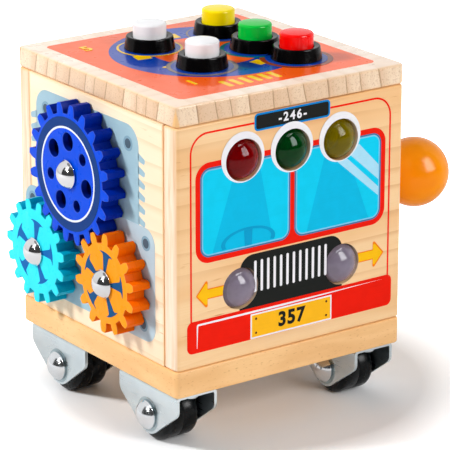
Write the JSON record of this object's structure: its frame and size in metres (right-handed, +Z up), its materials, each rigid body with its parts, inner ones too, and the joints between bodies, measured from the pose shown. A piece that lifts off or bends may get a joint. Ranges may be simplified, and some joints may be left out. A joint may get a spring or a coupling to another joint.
{
  "type": "activity cube",
  "caption": "Wooden activity cube on fixed castors: domed lights and a vehicle front, push buttons in the lid, meshing gears on one side, a ball knob sliding in a slot on the other.",
  "frame": {"origin": "on the floor under the middle of the whole toy's bounding box", "axes": "+Z up; the vehicle front with the lights faces -Y; the gears are on the -X side and the ball knob on the +X side"},
  "size_m": [0.1812, 0.1256, 0.1672],
  "materials": {
    "pine": "clear lacquered pine",
    "base_wood": "clear lacquered pine, darker",
    "black_plastic": "gloss black",
    "red_plastic": "gloss",
    "green_plastic": "gloss",
    "yellow_plastic": "gloss",
    "white_plastic": "gloss",
    "blue_plastic": "moulded, satin",
    "cyan_plastic": "moulded, satin",
    "orange_plastic": "moulded, satin",
    "red_lens": "clear tinted",
    "green_lens": "clear tinted",
    "yellow_lens": "clear tinted",
    "smoked_lens": "clear smoked",
    "chrome": "polished",
    "zinc": "zinc plated",
    "spring_steel": "bare wire",
    "circuit_board": "solder mask",
    "ball_paint": "gloss orange paint",
    "grey_plastic": "moulded",
    "cell_sleeve": "printed sleeve",
    "lead_sleeve": "soft sleeve"
  },
  "bodies": {
    "cube": {"lid_board": "pine", "front_wall": "pine", "rear_wall": "pine", "left_wall": "pine", "right_wall": "pine", "base_board": "base_wood", "red_button_housing": "black_plastic", "red_button_nut": "black_plastic", "red_button_spring": "spring_steel", "green_button_housing": "black_plastic", "green_button_nut": "black_plastic", "green_button_spring": "spring_steel", "yellow_button_housing": "black_plastic", "yellow_button_nut": "black_plastic", "yellow_button_spring": "spring_steel", "white_front_button_housing": "black_plastic", "white_front_button_nut": "black_plastic", "white_front_button_spring": "spring_steel", "white_left_button_housing": "black_plastic", "white_left_button_nut": "black_plastic", "white_left_button_spring": "spring_steel", "red_lens": "red_lens", "green_lens": "green_lens", "yellow_lens": "yellow_lens", "left_headlight_lens": "smoked_lens", "right_headlight_lens": "smoked_lens", "light_board": "circuit_board", "large_gear_pin": "chrome", "cyan_gear_pin": "chrome", "orange_gear_pin": "chrome", "castor_fork_front_left": "zinc", "castor_axle_front_left": "chrome", "castor_fork_front_right": "zinc", "castor_axle_front_right": "chrome", "castor_fork_rear_left": "zinc", "castor_axle_rear_left": "chrome", "castor_fork_rear_right": "zinc", "castor_axle_rear_right": "chrome", "battery_box": "grey_plastic", "battery_cover": "grey_plastic", "battery_cell_1": "cell_sleeve", "battery_cell_2": "cell_sleeve", "battery_cover_screw": "zinc", "battery_lead": "lead_sleeve", "button_lead": "lead_sleeve"},
    "red_button": {"red_button_cap": "red_plastic"},
    "green_button": {"green_button_cap": "green_plastic"},
    "yellow_button": {"yellow_button_cap": "yellow_plastic"},
    "white_front_button": {"white_front_button_cap": "white_plastic"},
    "white_left_button": {"white_left_button_cap": "white_plastic"},
    "large_gear": {"large_gear": "blue_plastic"},
    "cyan_gear": {"cyan_gear": "cyan_plastic"},
    "orange_gear": {"orange_gear": "orange_plastic"},
    "castor_wheel_front_left": {"castor_wheel_front_left": "black_plastic"},
    "castor_wheel_front_right": {"castor_wheel_front_right": "black_plastic"},
    "castor_wheel_rear_left": {"castor_wheel_rear_left": "black_plastic"},
    "castor_wheel_rear_right": {"castor_wheel_rear_right": "black_plastic"},
    "ball_knob": {"slider_stem": "pine", "slider_retainer": "pine", "slider_ball": "ball_paint"}
  },
  "joints": [
    {"name": "large_gear_spin", "type": "hinge", "parent": "cube", "child": "large_gear", "pos_m": [-0.08575, 0.00805, 0.1113], "axis": [1, 0, 0], "continuous": true},
    {"name": "cyan_gear_spin", "type": "hinge", "parent": "cube", "child": "cyan_gear", "pos_m": [-0.08575, 0.03634, 0.06856], "axis": [1, 0, 0], "continuous": true},
    {"name": "orange_gear_spin", "type": "hinge", "parent": "cube", "child": "orange_gear", "pos_m": [-0.08575, -0.01871, 0.0693], "axis": [1, 0, 0], "continuous": true},
    {"name": "red_button_press", "type": "slide", "parent": "cube", "child": "red_button", "axis": [0, 0, 1], "range_m": [-0.003, 0], "stiffness_N_per_m": 180, "springref_m": 0.004, "deforming": ["red_button_spring"]},
    {"name": "green_button_press", "type": "slide", "parent": "cube", "child": "green_button", "axis": [0, 0, 1], "range_m": [-0.003, 0], "stiffness_N_per_m": 180, "springref_m": 0.004, "deforming": ["green_button_spring"]},
    {"name": "yellow_button_press", "type": "slide", "parent": "cube", "child": "yellow_button", "axis": [0, 0, 1], "range_m": [-0.003, 0], "stiffness_N_per_m": 180, "springref_m": 0.004, "deforming": ["yellow_button_spring"]},
    {"name": "white_front_button_press", "type": "slide", "parent": "cube", "child": "white_front_button", "axis": [0, 0, 1], "range_m": [-0.003, 0], "stiffness_N_per_m": 180, "springref_m": 0.004, "deforming": ["white_front_button_spring"]},
    {"name": "white_left_button_press", "type": "slide", "parent": "cube", "child": "white_left_button", "axis": [0, 0, 1], "range_m": [-0.003, 0], "stiffness_N_per_m": 180, "springref_m": 0.004, "deforming": ["white_left_button_spring"]},
    {"name": "castor_wheel_front_left_roll", "type": "hinge", "parent": "cube", "child": "castor_wheel_front_left", "pos_m": [-0.06385, -0.03455, 0.01219], "axis": [1, 0, 0], "continuous": true},
    {"name": "castor_wheel_front_right_roll", "type": "hinge", "parent": "cube", "child": "castor_wheel_front_right", "pos_m": [0.03155, -0.03455, 0.01219], "axis": [1, 0, 0], "continuous": true},
    {"name": "castor_wheel_rear_left_roll", "type": "hinge", "parent": "cube", "child": "castor_wheel_rear_left", "pos_m": [-0.06385, 0.03665, 0.01219], "axis": [1, 0, 0], "continuous": true},
    {"name": "castor_wheel_rear_right_roll", "type": "hinge", "parent": "cube", "child": "castor_wheel_rear_right", "pos_m": [0.03155, 0.03665, 0.01219], "axis": [1, 0, 0], "continuous": true},
    {"name": "ball_knob_slide", "type": "slide", "parent": "cube", "child": "ball_knob", "axis": [0, 1, 0], "range_m": [0, 0.062]}
  ],
  "couplings": [
    {"joint": "cyan_gear_spin", "follows": "large_gear_spin", "ratio": -1.3333},
    {"joint": "orange_gear_spin", "follows": "large_gear_spin", "ratio": -1.4286}
  ]
}
